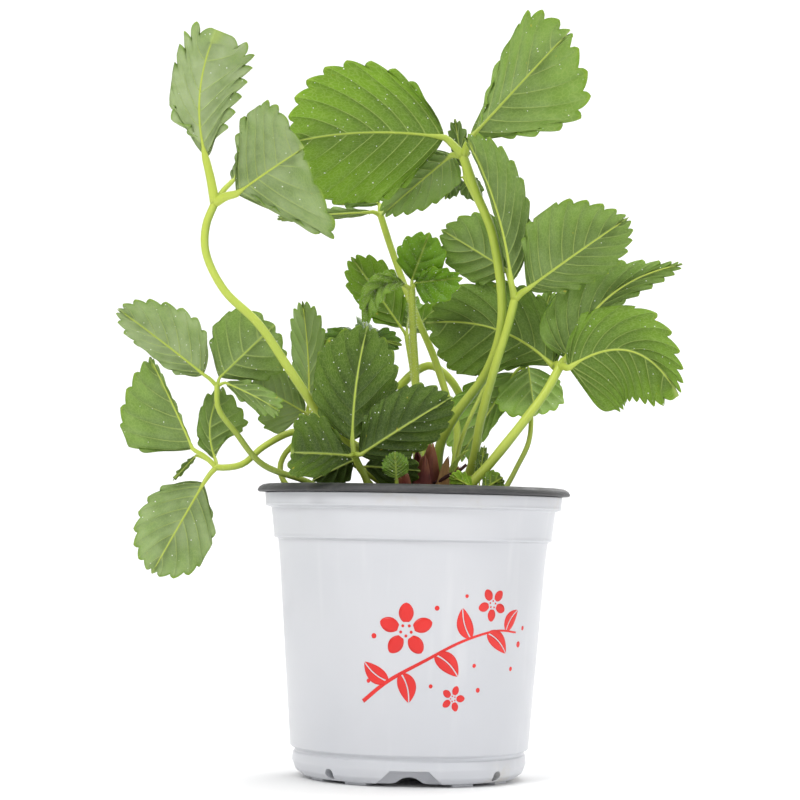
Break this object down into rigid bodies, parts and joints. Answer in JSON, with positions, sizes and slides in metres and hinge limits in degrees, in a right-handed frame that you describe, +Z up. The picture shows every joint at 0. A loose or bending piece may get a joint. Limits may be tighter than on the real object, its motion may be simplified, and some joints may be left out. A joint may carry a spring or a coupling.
{
  "type": "potted strawberry plant",
  "caption": "Strawberry plant with three-part toothed leaves on long stalks, in a pale tapered nursery pot with a dark lipped liner.",
  "frame": {"origin": "middle of the flat underside of the pot, at the level of the ground", "axes": "+Z up along the pot's axis, -Y towards the viewer, +X to the viewer's right"},
  "size_m": [0.2823, 0.1983, 0.389],
  "materials": {
    "pot_plastic": "smooth moulded plastic",
    "liner_plastic": "matt moulded plastic",
    "soil": "loose dark potting soil",
    "leaf": "matt living leaf",
    "young_leaf": "matt young leaf",
    "crown_scale": "dry papery scale"
  },
  "bodies": {
    "root": {"pot_wall": "pot_plastic", "pot_liner": "liner_plastic", "soil": "soil", "crown": "crown_scale", "leaf_top_left": "leaf", "leaf_top_centre": "leaf", "leaf_right_upper": "leaf", "leaf_right_lower": "leaf", "leaf_right_back": "leaf", "leaf_left_upper": "leaf", "leaf_left_lower": "leaf", "leaf_front": "leaf", "leaf_left_back": "leaf", "leaf_back_low": "leaf", "leaf_young": "leaf", "leaf_behind_young": "leaf", "leaf_back_tall": "leaf", "leaf_back_small": "leaf", "leaf_front_low": "leaf", "seedling_leaf": "young_leaf", "new_leaf_right": "young_leaf", "runner": "young_leaf"}
  },
  "joints": []
}
